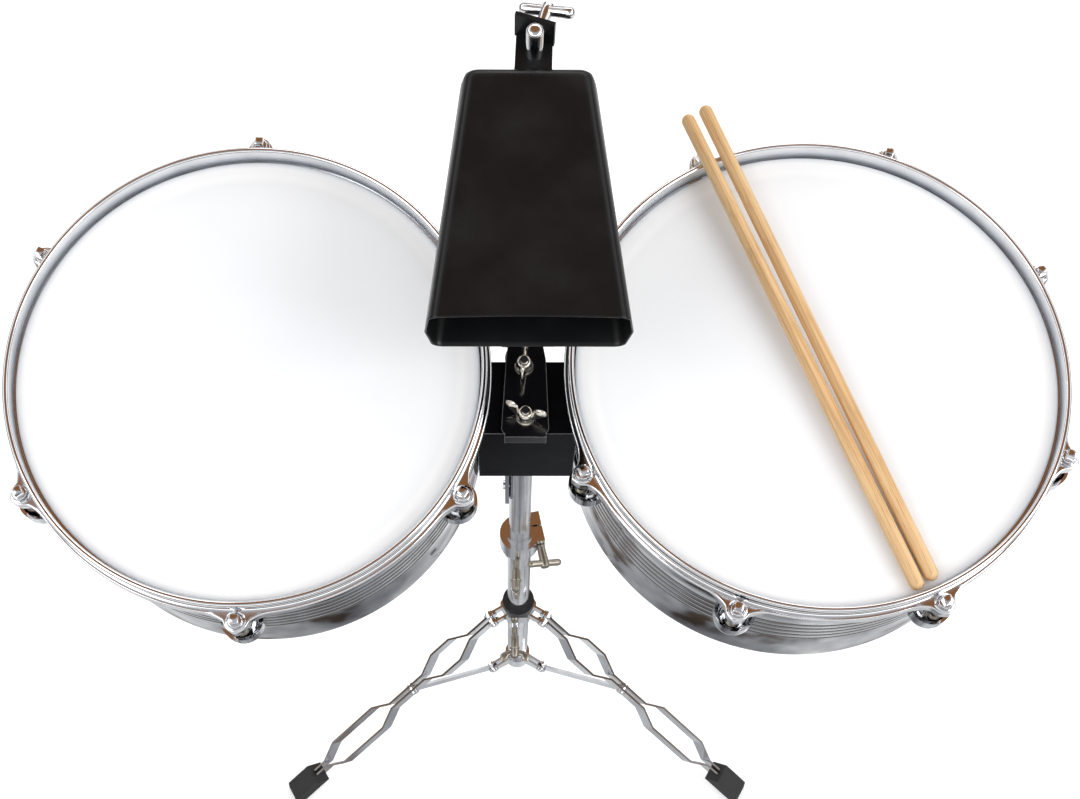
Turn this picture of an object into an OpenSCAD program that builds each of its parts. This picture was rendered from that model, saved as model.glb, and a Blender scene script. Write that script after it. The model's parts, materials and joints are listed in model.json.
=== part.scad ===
// Timbales: two metal-shell drums and a cowbell on a folding tripod stand.
// Millimetres, +Z up, feet on Z = 0, the player stands on the -Y side.

/* [Drums] */
// Outside radius of the smaller shell (13 inch head)
small_shell_r = 165.1; // [150:0.1:175]
// Outside radius of the larger shell (14 inch head)
large_shell_r = 177.8; // [160:0.1:190]
// Distance from the top of the rim to the open bottom of the shell
drum_depth = 179; // [150:1:220]
// Thickness of the rolled sheet of both shells
shell_wall = 1.5; // [1:0.1:3]
// Number of tension rods on the smaller drum
small_lugs = 6; // [4:1:10]
// Number of tension rods on the larger drum
large_lugs = 8; // [4:1:10]
// Depth of the playing surface below the top of the rim
film_drop = 13.9; // [8:0.1:20]
// Number of grooves rolled round each shell
groove_count = 5; // [0:1:6]

/* [Rim and lugs] */
// Radial reach of the rim outside the shell
rim_reach = 6.6; // [5:0.1:9]
// Depth of the lower flange of the rim below its top
flange_drop = 18; // [14:0.5:24]
// Distance of the tension rods outside the shell
rod_reach = 13.6; // [11:0.1:17]
// Radius of a tension rod
rod_r = 2.9; // [2:0.1:4]
// Half width of a lug cup
lug_r = 15; // [12:0.5:18]
// Depth of the mouth of a lug cup below the rim top
lug_drop = 43; // [36:1:60]

/* [Head assembly] */
// Height of the tilt pivot above the floor
pivot_z = 1010; // [850:5:1200]
// Lean of the whole head towards the player, degrees
head_lean = 5; // [0:0.5:25]
// Extra lean of each drum against the other, degrees
drum_lean = 1.5; // [0:0.5:4]
// Thickness of the folded sheet of the centre bracket
bracket_t = 3; // [2:0.5:5]
// Height of the bracket's top above the pivot
bracket_top = 73.7; // [60:0.1:90]
// Height of the bracket from its open bottom to its top
bracket_h = 112; // [80:1:130]
// Thickness of the arm that carries the cowbell post
arm_t = 3.5; // [2:0.5:6]
// Radius of the cowbell post
post_r = 6; // [4:0.5:8]

/* [Cowbell] */
// Width of the cowbell's mouth
bell_mouth_w = 138; // [100:1:160]
// Height of the cowbell's mouth
bell_mouth_h = 66; // [45:1:80]
// Width of the cowbell's closed end
bell_end_w = 92; // [60:1:120]
// Height of the cowbell's closed end
bell_end_h = 36; // [25:1:50]
// Length of the cowbell
bell_len = 182.5; // [140:0.5:220]
// Thickness of the cowbell's sheet
bell_wall = 1.3; // [1:0.1:2.5]

/* [Stand] */
// Radius of the sliding upper tube
mast_r = 11.1; // [9:0.1:14]
// Radius of the fixed lower tube
tube_r = 12.7; // [11:0.1:16]
// Height of the top of the lower tube
tube_top = 560; // [450:5:650]
// Height of the leg pins on the sliding collar
collar_z = 300; // [250:1:340]
// Height of the brace pins on the hub
hub_z = 80; // [70:1:120]
// Radius of the circle of leg and brace pins
pin_ring_r = 36; // [30:1:45]
// Radius at which leg and brace meet
joint_ring_r = 149; // [120:1:180]
// Length of a leg strip from its pin to its end in the foot
leg_len = 384; // [330:1:420]
// Width of a leg strip
leg_w = 16; // [12:0.5:22]
// Thickness of a leg strip
leg_t = 2.5; // [1.5:0.1:4]
// Outward bow of each leg strip
leg_bow = 14.5; // [8:0.5:20]

/* [Sticks] */
// Length of a stick
stick_len = 400; // [360:1:430]
// Radius of a stick
stick_r = 5.35; // [4.5:0.05:7]

/* [Hidden] */
// Shift that puts the centre of the whole object's box on the origin
centre_shift = [-16.285, -36.835, 0];

chrome = [0.80, 0.81, 0.83];
film_white = [0.93, 0.93, 0.91];
black_steel = [0.06, 0.06, 0.065];
black_plastic = [0.04, 0.04, 0.045];
rubber_black = [0.05, 0.05, 0.05];
hickory = [0.78, 0.60, 0.38];
brass_tint = [0.72, 0.58, 0.30];

// A drum is [shell radius, lug count, first lug angle, centre of the rim top, own lean].
small_drum = [small_shell_r, small_lugs, 29.9, [-198, -67.7, 140], drum_lean];
large_drum = [large_shell_r, large_lugs, 24.5, [216.4, -54.2, 109.2], -drum_lean];

roll_r = 2.2;
rim_wall = 2;
lip_h = 8;
ear_r = 9;
ear_rise = 0.2;
rod_seat = -flange_drop + rim_wall + ear_rise;
film_t = 0.4;
washer_t = 1.4;
screw_r = 3;
fit = 0.05;

bracket_l = -32.4;
bracket_r = 38.2;
bracket_front = -96.6;
bracket_back = -39.7;
shell_screw_z = [64.5, 35];
arm_top = bracket_top + arm_t;
arm_bolt_at = [[1, -84.5], [0, -45]];
post_at = [6, 125];
post_top = 276;
bell_mouth_at = [2, -75, 227];
bell_rise = 4;
bell_side_r = 10;
bell_corner_r = 8;
bell_corner_in = 0.05;
bell_plate_z = 240.5;
bell_plate_t = 3;
bell_bolt_yaw = -18;
bell_bolt_z = 256;

tilt_at = [0, 8, 0];
tilt_r = 13;
tilter_r = 14.5;
tilt_bolt_r = 5;
tilt_on_pole = [0, tilt_at[1] * cos(head_lean), pivot_z + tilt_at[1] * sin(head_lean)];
handle_turn = 20.5;

leg_angles = [210, 330, 90];
leg_fall = atan2(collar_z - hub_z, 2 * (joint_ring_r - pin_ring_r));
arm_half = norm([joint_ring_r - pin_ring_r, (collar_z - hub_z) / 2]);
strip_pinch = 3.1;
brace_t = 3;
pin_r = 3;
clamp_turn = 12;
clamp_bolt_at = [20, 541];
clamp_bolt_r = 3.65;
clamp_bar_tilt = 27;
lock_z = 515;
collar_bolt_z = 262;

// ---- frames ----

module on_pole(c) {
  color(c)
    translate(centre_shift)
      children();
}

module in_head(c) {
  on_pole(c)
    translate([0, 0, pivot_z])
      rotate([head_lean, 0, 0])
        children();
}

// Children are drawn with the rim top's centre at the origin.
module in_drum(d, c) {
  in_head(c)
    translate(d[3])
      rotate([d[4], 0, 0])
        children();
}

// Children are drawn once per lug, with +X pointing out of the shell.
module each_lug(d) {
  for (i = [0 : d[1] - 1])
    rotate([0, 0, d[2] + i * 360 / d[1]])
      children();
}

// Children are drawn with +X pointing out along one leg's direction.
module at_leg(i, c) {
  on_pole(c)
    rotate([0, 0, leg_angles[i]])
      children();
}

module along_x() {
  rotate([0, 90, 0])
    children();
}

module along_y() {
  rotate([-90, 0, 0])
    children();
}

// A tube or disc from z0 to z1; no bore when inner is 0.
module ring(outer, inner, z0, z1) {
  difference() {
    translate([0, 0, z0])
      cylinder(r = outer, h = z1 - z0, $fn = 96);
    if (inner > 0)
      translate([0, 0, z0 - 1])
        cylinder(r = inner, h = z1 - z0 + 2, $fn = 96);
  }
}

// ---- drums ----

module shell_section(r) {
  difference() {
    union() {
      translate([r - shell_wall, -drum_depth])
        square([shell_wall, drum_depth - film_drop - film_t]);
      // inward bearing edge under the film
      translate([r - 5, -film_drop - film_t - shell_wall])
        square([5, shell_wall]);
      // turned-in bottom edge
      translate([r - 8, -drum_depth])
        square([8, shell_wall]);
      translate([r - 8, -drum_depth])
        square([shell_wall, 6]);
      for (k = [0 : groove_count - 1])
        translate([r - shell_wall + 0.2, -73 - 10.5 * k])
          circle(r = 1.4, $fn = 32);
    }
    for (k = [0 : groove_count - 1])
      translate([r + 0.5, -73 - 10.5 * k])
        circle(r = 1.4, $fn = 32);
  }
}

// side is +1 when the bracket lies towards +X of the drum, -1 when towards -X.
module shell(d, side) {
  in_drum(d, chrome)
    difference() {
      rotate_extrude($fn = 180)
        shell_section(d[0]);
      each_lug(d)
        lug_screw_shanks(d[0], 2 + fit);
      for (z = shell_screw_z)
        translate([side * d[0], 0, z - d[3][2]])
          along_x()
            cylinder(r = screw_r + fit, h = 12, center = true, $fn = 32);
    }
}

module film(d) {
  in_drum(d, film_white)
    rotate_extrude($fn = 180)
      union() {
        translate([0, -film_drop - film_t])
          square([d[0] + 0.9, film_t]);
        translate([d[0] + 0.3, -flange_drop - 7])
          square([0.6, flange_drop + 7 - film_drop]);
      }
}

module flesh_hoop(d) {
  in_drum(d, chrome)
    ring(d[0] + 6.9, d[0] + 0.9, -flange_drop - lip_h, -flange_drop);
}

// Outline of a rim ear; inset shrinks it by one sheet for the hollow underneath.
module ear_outline(r, inset) {
  translate([r + rod_reach, 0])
    circle(r = ear_r - inset, $fn = 48);
  polygon([[r + 5, -20 + inset], [r + rod_reach, -ear_r + inset],
    [r + rod_reach, ear_r - inset], [r + 5, 20 - inset]]);
}

module rim(d) {
  r = d[0];
  in_drum(d, chrome)
    union() {
      rotate([0, 0, d[2] + 180 / d[1]])
        rotate_extrude($fn = 180)
          union() {
            translate([r + rim_reach - roll_r, -roll_r])
              circle(r = roll_r, $fn = 32);
            translate([r + rim_reach - 2 * roll_r, -flange_drop])
              square([rim_wall, flange_drop - roll_r]);
            translate([r + rim_reach - 2 * roll_r, -flange_drop])
              square([7, rim_wall]);
            translate([r + 7.2, -flange_drop - lip_h])
              square([rim_wall, lip_h + rim_wall]);
          }
      each_lug(d)
        difference() {
          translate([0, 0, -flange_drop - lip_h + 1])
            linear_extrude(height = lip_h - 1 + rim_wall + ear_rise)
              ear_outline(r, 0);
          translate([0, 0, -flange_drop - lip_h - 1])
            linear_extrude(height = lip_h + 0.7)
              ear_outline(r, rim_wall);
          translate([0, 0, -flange_drop - lip_h - 1])
            cylinder(r = r + 8.2, h = lip_h + 1.5, $fn = 180);
          translate([r + rod_reach, 0, -flange_drop - 1])
            cylinder(r = rod_r + 0.3, h = rim_wall + 3, $fn = 32);
        }
    }
}

module lug_bowl(r, size, grow) {
  translate([r + 7.4, 0, -lug_drop - 12])
    cylinder(r = size, h = 12 + grow, $fn = 64);
  translate([r + 7.4, 0, -lug_drop - 12])
    sphere(r = size, $fn = 64);
}

module lug_screw_shanks(r, size) {
  for (z = [-lug_drop - 5, -lug_drop - 17])
    translate([r - 2.5, 0, z])
      along_x()
        cylinder(r = size, h = 6, $fn = 24);
}

module lugs(d) {
  r = d[0];
  in_drum(d, chrome)
    each_lug(d)
      difference() {
        union() {
          difference() {
            lug_bowl(r, lug_r, 0);
            difference() {
              lug_bowl(r, lug_r - 2.2, 4);
              translate([0, 0, -drum_depth])
                cylinder(r = r + 1.6, h = drum_depth, $fn = 180);
            }
          }
          // seat of the threaded nut
          translate([r + rod_reach, 0, -lug_drop - 21.5])
            cylinder(r = 5, h = 4.5, $fn = 32);
        }
        translate([0, 0, -drum_depth])
          cylinder(r = r, h = drum_depth, $fn = 180);
        translate([r + rod_reach, 0, -lug_drop - 22])
          cylinder(r = rod_r + 0.3, h = 8, $fn = 32);
        lug_screw_shanks(r, 2 + fit);
      }
}

module tension_rods(d) {
  in_drum(d, chrome)
    each_lug(d)
      translate([d[0] + rod_reach, 0, 0]) {
        seat = rod_seat + washer_t;
        ring(rod_r, 0, -lug_drop - 20, seat);
        ring(5.2, 0, seat, seat + 3);
        translate([-3.1, -3.1, seat + 3])
          cube([6.2, 6.2, -3.3 - seat - 3]);
      }
}

module rod_washers(d) {
  in_drum(d, chrome)
    each_lug(d)
      translate([d[0] + rod_reach, 0, 0])
        ring(7, rod_r + fit, rod_seat, rod_seat + washer_t);
}

module lug_nuts(d) {
  in_drum(d, brass_tint)
    each_lug(d)
      translate([d[0] + rod_reach, 0, 0])
        ring(5.2, rod_r + fit, -lug_drop - 17, -lug_drop - 3);
}

module lug_screws(d) {
  in_drum(d, chrome)
    each_lug(d) {
      lug_screw_shanks(d[0], 2);
      for (z = [-lug_drop - 5, -lug_drop - 17])
        translate([d[0] - shell_wall - 2.5, 0, z])
          along_x()
            cylinder(r = 4, h = 2.4, $fn = 24);
    }
}

module shell_small() { shell(small_drum, 1); }
module head_small() { film(small_drum); }
module flesh_hoop_small() { flesh_hoop(small_drum); }
module rim_small() { rim(small_drum); }
module lugs_small() { lugs(small_drum); }
module tension_rods_small() { tension_rods(small_drum); }
module rod_washers_small() { rod_washers(small_drum); }
module lug_nuts_small() { lug_nuts(small_drum); }
module lug_screws_small() { lug_screws(small_drum); }
module shell_large() { shell(large_drum, -1); }
module head_large() { film(large_drum); }
module flesh_hoop_large() { flesh_hoop(large_drum); }
module rim_large() { rim(large_drum); }
module lugs_large() { lugs(large_drum); }
module tension_rods_large() { tension_rods(large_drum); }
module rod_washers_large() { rod_washers(large_drum); }
module lug_nuts_large() { lug_nuts(large_drum); }
module lug_screws_large() { lug_screws(large_drum); }

// ---- centre bracket and arm ----

// A screw along X through one bracket wall and the shell; s is +1 towards +X.
module shell_screw(x, y, z, s) {
  translate([x, y, z])
    rotate([0, s * 90, 0]) {
      ring(screw_r, 0, -2, 8);
      ring(5.5, 0, -bracket_t - 3, -bracket_t);
      ring(screw_r, 0, -bracket_t, 0);
      // nut inside the shell
      ring(5.5, 0, 3.5, 6.5);
    }
}

// Where a drum's axis stands in Y at height z of the head's frame.
function drum_tangent_y(d, z) = d[3][1] + (d[3][2] - z) * tan(d[4]);

module bracket() {
  in_head(black_steel)
    difference() {
      translate([0, 0, bracket_top - bracket_h])
        union() {
          translate([bracket_l, bracket_front, bracket_h - bracket_t])
            cube([bracket_r - bracket_l, bracket_back - bracket_front, bracket_t]);
          for (x = [bracket_l, bracket_r - bracket_t])
            translate([x, bracket_front, 0])
              cube([bracket_t, bracket_back - bracket_front, bracket_h]);
          translate([bracket_l - 2.6, bracket_front, 0])
            cube([bracket_r - bracket_l + 3.9, bracket_t, bracket_h]);
        }
      for (p = arm_bolt_at)
        translate([p[0], p[1], 0])
          ring(screw_r + fit, 0, bracket_top - 10, bracket_top + 10);
      for (z = shell_screw_z)
        for (end = [[bracket_l, small_drum], [bracket_r, large_drum]])
          translate([end[0], drum_tangent_y(end[1], z), z])
            along_x()
              cylinder(r = screw_r + fit, h = 12, center = true, $fn = 32);
    }
}

module bracket_screws() {
  in_head(chrome)
    for (z = shell_screw_z) {
      shell_screw(bracket_l, drum_tangent_y(small_drum, z), z, -1);
      shell_screw(bracket_r, drum_tangent_y(large_drum, z), z, 1);
    }
}

module cowbell_arm() {
  in_head(black_steel)
    difference() {
      union() {
        translate([0, 0, bracket_top])
          linear_extrude(height = arm_t)
            union() {
              polygon([[-11.9, -97.6], [13.9, -97.6], [18.4, -93], [16.5, -39], [13.4, -22],
                [post_at[0] + 12.3, post_at[1]], [post_at[0] - 12.3, post_at[1]],
                [-11.6, -22], [-13.5, -39], [-16.9, -93]]);
              translate(post_at)
                circle(r = 12.4, $fn = 64);
              for (x = [-11.9, 13.9])
                translate([x, -93])
                  circle(r = x < 0 ? 5 : 4.5, $fn = 32);
            }
        // tab folded down over the bracket's front
        translate([-14.5, bracket_front - arm_t, arm_top - 14.5])
          cube([31, arm_t, 14.5]);
      }
      for (p = arm_bolt_at)
        translate([p[0], p[1], 0])
          ring(screw_r + fit, 0, bracket_top - 1, arm_top + 1);
      translate([post_at[0], post_at[1], 0])
        ring(post_r + 0.3, 0, bracket_top - 1, arm_top + 1);
    }
}

module arm_bolts() {
  in_head(chrome)
    for (p = arm_bolt_at)
      translate([p[0], p[1], 0]) {
        ring(screw_r, 0, bracket_top - 2 * bracket_t, arm_top + 17);
        ring(5, 0, bracket_top - 2 * bracket_t - 4, bracket_top - 2 * bracket_t);
      }
}

// Wing grip along +Z with its foot at z = 0: a barrel and two flat ears whose
// round ends stand at height ear_z.
module wing_grip(barrel_r, barrel_h, span, ear_z, bore) {
  difference() {
    union() {
      ring(barrel_r, 0, 0, barrel_h);
      for (s = [-1, 1])
        rotate([90, 0, 0])
          translate([0, 0, -1.4])
            linear_extrude(height = 2.8)
              union() {
                polygon([[0, 1], [s * barrel_r, 1], [s * (span / 2), ear_z - 4],
                  [s * (span / 2 - 7), ear_z + 3.5], [0, barrel_h]]);
                translate([s * (span / 2 - 4.5), ear_z])
                  circle(r = 4.5, $fn = 32);
              }
    }
    if (bore > 0)
      ring(bore, 0, -1, barrel_h + 9);
  }
}

module wing_nut_front() {
  in_head(chrome)
    translate([arm_bolt_at[0][0], arm_bolt_at[0][1], arm_top])
      rotate([0, 0, -18])
        wing_grip(5.7, 13, 31, 19, screw_r + fit);
}

module wing_nut_rear() {
  in_head(chrome)
    translate([arm_bolt_at[1][0], arm_bolt_at[1][1], arm_top])
      rotate([0, 0, 84])
        wing_grip(5.7, 13, 31, 19, screw_r + fit);
}

// ---- cowbell and its post ----

module post_socket() {
  in_head(chrome)
    difference() {
      union() {
        translate([post_at[0], post_at[1], 0])
          ring(11, 0, arm_top, arm_top + 28);
        translate([post_at[0], post_at[1] + 8, arm_top + 14])
          along_y()
            cylinder(r = 6.5, h = 8, $fn = 32);
      }
      translate([post_at[0], post_at[1], 0])
        ring(post_r + fit, 0, arm_top - 1, arm_top + 29);
      translate([post_at[0], post_at[1], arm_top + 14])
        along_y()
          cylinder(r = screw_r + fit, h = 18, $fn = 32);
    }
}

module post_screw() {
  in_head(brass_tint)
    translate([post_at[0], post_at[1], arm_top + 14])
      along_y() {
        ring(screw_r, 0, post_r + 0.5, 17);
        translate([0, 0, 17])
          wing_grip(5, 11, 32, 10, 0);
      }
}

module post() {
  in_head(chrome)
    translate([post_at[0], post_at[1], 0]) {
      ring(post_r, 0, bracket_top - 12, post_top - 2);
      ring(post_r - 1.2, 0, post_top - 2, post_top);
    }
}

// Children are drawn with +Z running from the mouth's centre to the closed end.
module in_bell(c) {
  in_head(c)
    translate(bell_mouth_at)
      rotate([bell_rise - 90, 0, 0])
        children();
}

// One thin section: widest at mid height, its four corners set in a little.
module bell_slice(w, h, inset, z) {
  for (x = [-1, 1]) {
    translate([x * (w / 2 - bell_side_r), 0, z])
      cylinder(r = bell_side_r - inset, h = 0.1, $fn = 48);
    for (y = [-1, 1])
      translate([x * (w * (0.5 - bell_corner_in) - bell_corner_r), y * (h / 2 - bell_corner_r), z])
        cylinder(r = bell_corner_r - inset, h = 0.1, $fn = 48);
  }
}

module bell_body(inset, z0, z1) {
  hull() {
    bell_slice(bell_mouth_w, bell_mouth_h, inset, z0);
    bell_slice(bell_end_w, bell_end_h, inset, z1 - 0.1);
  }
}

module cowbell() {
  in_bell(black_steel)
    difference() {
      bell_body(0, 0, bell_len);
      bell_body(bell_wall, -0.5, bell_len - 2);
    }
}

module cowbell_bracket() {
  in_head(black_steel)
    difference() {
      union() {
        // flange on the bell's closed end
        translate(bell_mouth_at)
          rotate([bell_rise - 90, 0, 0])
            translate([-10, -12, bell_len])
              cube([26, 24, 2.5]);
        translate([0, 0, bell_plate_z])
          linear_extrude(height = bell_plate_t)
            polygon([[-8, 108.5], [18, 108.5], [18.8, 133.4], [-6.5, 141.7]]);
        // upstand that the T-bolt screws through
        translate([post_at[0], post_at[1], 0])
          rotate([0, 0, bell_bolt_yaw])
            translate([-18, 11, bell_plate_z])
              cube([28.6, bell_plate_t, 27]);
      }
      translate([post_at[0], post_at[1], 0])
        ring(post_r + fit, 0, bell_plate_z - 1, bell_plate_z + bell_plate_t + 1);
      translate([post_at[0], post_at[1], bell_bolt_z])
        rotate([0, 0, bell_bolt_yaw])
          along_y()
            cylinder(r = 2.5 + fit, h = 20, $fn = 32);
    }
}

// T-handle along +Z: a waisted neck and a round bar across X.
module t_grip(neck, bar) {
  cylinder(r1 = 2.8, r2 = 3.4, h = neck + 1, $fn = 32);
  translate([0, 0, neck + 2])
    along_x() {
      cylinder(r = 4, h = bar - 8, center = true, $fn = 32);
      for (s = [-1, 1])
        translate([0, 0, s * (bar / 2 - 4)])
          sphere(r = 4, $fn = 32);
    }
}

module cowbell_t_bolt() {
  in_head(chrome)
    translate([post_at[0], post_at[1], bell_bolt_z])
      rotate([0, 0, bell_bolt_yaw])
        along_y() {
          ring(2.5, 0, post_r + 0.5, 16.5);
          translate([0, 0, 16.5])
            rotate([0, 0, bell_bolt_yaw])
              t_grip(9, 40);
        }
}

// ---- tilter ----

module tilter_block() {
  on_pole(chrome)
    difference() {
      union() {
        ring(tilter_r, mast_r + fit, 940, 985);
        ring(tilter_r, 0, 985, 989);
        translate([-8, tilt_on_pole[1] - tilt_r, 988])
          cube([16, 2 * tilt_r, tilt_on_pole[2] - 988]);
        translate(tilt_on_pole)
          along_x()
            cylinder(r = tilt_r, h = 16, center = true, $fn = 64);
      }
      translate(tilt_on_pole)
        along_x()
          cylinder(r = tilt_bolt_r + fit, h = 40, center = true, $fn = 48);
    }
}

module tilt_ears() {
  in_head(black_steel)
    difference() {
      union() {
        for (x = [-12, 8.3])
          translate([x, 0, 0])
            rotate([90, 0, 90])
              linear_extrude(height = 3.7)
                union() {
                  translate([tilt_at[1], 0])
                    circle(r = tilt_r, $fn = 64);
                  polygon([[tilt_at[1] - 12, -4], [tilt_at[1] + 4, 12.4],
                    [bracket_back - 2, bracket_top - bracket_t],
                    [bracket_front + 5, bracket_top - bracket_t], [bracket_front + 5, 40]]);
                }
        translate([-12, bracket_front + 5, bracket_top - 2 * bracket_t])
          cube([24, bracket_back - bracket_front - 7, bracket_t]);
      }
      translate(tilt_at)
        along_x()
          cylinder(r = tilt_bolt_r + fit, h = 60, center = true, $fn = 48);
      for (p = arm_bolt_at)
        translate([p[0], p[1], 0])
          ring(screw_r + fit, 0, bracket_top - 10, bracket_top);
    }
}

module tilt_bolt() {
  in_head(chrome)
    translate(tilt_at)
      along_x() {
        ring(tilt_bolt_r, 0, -12.1, 28);
        translate([0, 0, -17])
          linear_extrude(height = 5)
            circle(r = 8, $fn = 6);
      }
}

module tilt_handle() {
  in_head(chrome)
    translate([12.1, tilt_at[1], 0])
      along_x()
        rotate([0, 0, handle_turn])
          wing_grip(7.4, 13, 46, 12, tilt_bolt_r + fit);
}

// ---- mast ----

module side_strap() {
  on_pole(chrome)
    difference() {
      translate([-mast_r - 3.8, 0, 0])
        rotate([90, 0, 90])
          linear_extrude(height = 3.8)
            polygon([[-11, 676], [-4, 669], [4, 669], [11, 676], [11, 938], [-11, 938]]);
      for (z = [700, 800, 905])
        translate([-mast_r - 5, 0, z])
          along_x()
            cylinder(r = 2.5 + fit, h = 8, $fn = 32);
    }
}

module strap_rivets() {
  on_pole(chrome)
    for (z = [700, 800, 905])
      translate([-mast_r - 3.8, 0, z])
        rotate([0, -90, 0]) {
          ring(4.5, 0, 0, 2);
          ring(2.5, 0, -4.8, 0);
        }
}

module upper_tube() {
  on_pole(chrome)
    difference() {
      ring(mast_r, mast_r - 1.6, 330, 985);
      for (z = [700, 800, 905])
        translate([-mast_r - 2, 0, z])
          along_x()
            cylinder(r = 2.5 + fit, h = 6, $fn = 32);
    }
}

module height_clamp() {
  on_pole(chrome)
    rotate([0, 0, clamp_turn])
      difference() {
        union() {
          ring(20.7, 0, 528, 558);
          // the two lugs of the slot
          translate([10, -12.7, 530])
            cube([14.8, 33.2, 26]);
        }
        translate([0, 0, 520])
          ring(tube_r + 1.2, 0, 0, 45);
        translate([10, 3.4, 520])
          cube([30, 1.8, 45]);
        translate([clamp_bolt_at[0], -20, clamp_bolt_at[1]])
          along_y()
            cylinder(r = clamp_bolt_r + fit, h = 50, $fn = 32);
      }
}

module clamp_bush() {
  on_pole(chrome) {
    ring(tube_r + 1.2, tube_r, 526, tube_top);
    ring(tube_r + 1.2, mast_r + 0.1, tube_top, tube_top + 2.5);
  }
}

module clamp_t_bolt() {
  on_pole(chrome)
    rotate([0, 0, clamp_turn])
      translate([clamp_bolt_at[0], -29, clamp_bolt_at[1]]) {
        along_y()
          ring(clamp_bolt_r, 0, 0, 48.5);
        translate([0, -3.6, 0])
          rotate([0, 90 + clamp_bar_tilt, 0]) {
            cylinder(r = 3.75, h = 37 - 7.5, center = true, $fn = 32);
            for (s = [-1, 1])
              translate([0, 0, s * 14.75])
                sphere(r = 3.75, $fn = 32);
          }
      }
}

// Threaded wing bolt along +Z, tip at z = 0.
module wing_bolt(thread, barrel, span) {
  ring(3.4, 0, 0, thread);
  ring(4.75, 0, thread, thread + barrel);
  translate([0, 0, thread + barrel - 13])
    wing_grip(4.75, 12, span, 11, 0);
}

module lock_wing_bolt() {
  on_pole(brass_tint)
    translate([-3.5, -tube_r + 0.9, lock_z])
      rotate([90, 0, 0])
        rotate([0, 0, 90])
          wing_bolt(15.2, 24, 34);
}

module lower_tube() {
  on_pole(chrome)
    difference() {
      union() {
        ring(tube_r, 0, 70, tube_top);
        translate([-3.5, 0, lock_z])
          rotate([90, 0, 0])
            cylinder(r = 6.5, h = tube_r + 2.4, $fn = 48);
      }
      ring(mast_r + 0.1, 0, 60, tube_top + 10);
      translate([-3.5, 0, lock_z])
        rotate([90, 0, 0])
          cylinder(r = 3.4 + fit, h = tube_r + 5, $fn = 32);
    }
}

// ---- folding legs ----

// Pair of upright ears holding a pin; t0 is the gap's half width.
module ear_pair(inner, reach, z, half_h, t0) {
  for (s = [-1, 1])
    translate([0, s * (t0 + leg_t / 2), z])
      rotate([90, 0, 0])
        linear_extrude(height = leg_t, center = true)
          difference() {
            union() {
              polygon([[inner, -half_h], [pin_ring_r, -reach], [pin_ring_r, reach], [inner, half_h]]);
              translate([pin_ring_r, 0])
                circle(r = reach, $fn = 48);
            }
            translate([pin_ring_r, 0])
              circle(r = pin_r + fit, $fn = 32);
          }
}

module leg_collar() {
  on_pole(chrome)
    difference() {
      union() {
        translate([0, 0, 284])
          linear_extrude(height = 23)
            circle(r = 21.5, $fn = 6);
        ring(14.6, 0, 248, 284);
        for (a = leg_angles)
          rotate([0, 0, a])
            ear_pair(14, 7, collar_z, 7, strip_pinch + leg_t / 2 + 0.3);
        translate([-4, 0, collar_bolt_z])
          rotate([90, 0, 0])
            cylinder(r = 6.5, h = 19, $fn = 48);
      }
      ring(tube_r + fit, 0, 240, 310);
      translate([-4, 0, collar_bolt_z])
        rotate([90, 0, 0])
          cylinder(r = 3.4 + fit, h = 30, $fn = 32);
    }
}

module collar_bush() {
  on_pole(black_plastic)
    ring(18.5, tube_r + fit, 307, 319);
}

module collar_pins() {
  on_pole(chrome)
    for (a = leg_angles)
      rotate([0, 0, a])
        translate([pin_ring_r, 0, collar_z])
          along_y() {
            ring(pin_r, 0, -8.8, 8.8);
            ring(4.6, 0, -9.3, -7.2);
            ring(4.6, 0, 7.2, 9.3);
          }
}

module collar_wing_bolt() {
  on_pole(brass_tint)
    translate([-4, -tube_r - 0.6, collar_bolt_z])
      rotate([90, 0, 0])
        wing_bolt(14, 28, 34);
}

module lower_hub() {
  on_pole(chrome)
    difference() {
      union() {
        ring(15.5, 0, 66, 92);
        for (a = leg_angles)
          rotate([0, 0, a])
            ear_pair(12, 7, hub_z, 12, brace_t / 2 + 0.3);
      }
      ring(tube_r, 0, 70, 100);
      ring(8, 0, 60, 80);
    }
}

module hub_pins() {
  on_pole(chrome)
    for (a = leg_angles)
      rotate([0, 0, a])
        translate([pin_ring_r, 0, hub_z])
          along_y() {
            ring(pin_r, 0, -5, 5);
            ring(4.6, 0, -6.3, -4.3);
            ring(4.6, 0, 4.3, 6.3);
          }
}

// Sideways offset of a leg strip's centre at distance s down the leg.
bow_at = [[-8, strip_pinch], [38, strip_pinch], [66, leg_bow], [101, leg_bow], [129, strip_pinch],
  [197, strip_pinch], [225, leg_bow], [310, leg_bow], [338, strip_pinch], [leg_len, strip_pinch]];

// Children are drawn with +X down the leg, +Y sideways and the pin at the origin.
module down_leg(i, c) {
  at_leg(i, c)
    translate([pin_ring_r, 0, collar_z])
      rotate([0, leg_fall, 0])
        children();
}

module strip_holes() {
  for (s = [0, arm_half])
    translate([s, 0, 0])
      along_y()
        cylinder(r = pin_r + fit, h = 60, center = true, $fn = 32);
}

module leg_strips() {
  n = len(bow_at);
  difference() {
    intersection() {
      union() {
        for (s = [-1, 1])
          translate([0, 0, -leg_w / 2])
            linear_extrude(height = leg_w)
              polygon(concat(
                [for (k = [0 : n - 1]) [bow_at[k][0], s * (bow_at[k][1] - leg_t / 2)]],
                [for (k = [n - 1 : -1 : 0]) [bow_at[k][0], s * (bow_at[k][1] + leg_t / 2)]]));
      }
      union() {
        rotate([90, 0, 0])
          cylinder(r = leg_w / 2, h = 60, center = true, $fn = 64);
        translate([0, -30, -leg_w / 2])
          cube([leg_len, 60, leg_w]);
      }
    }
    strip_holes();
  }
}

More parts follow.
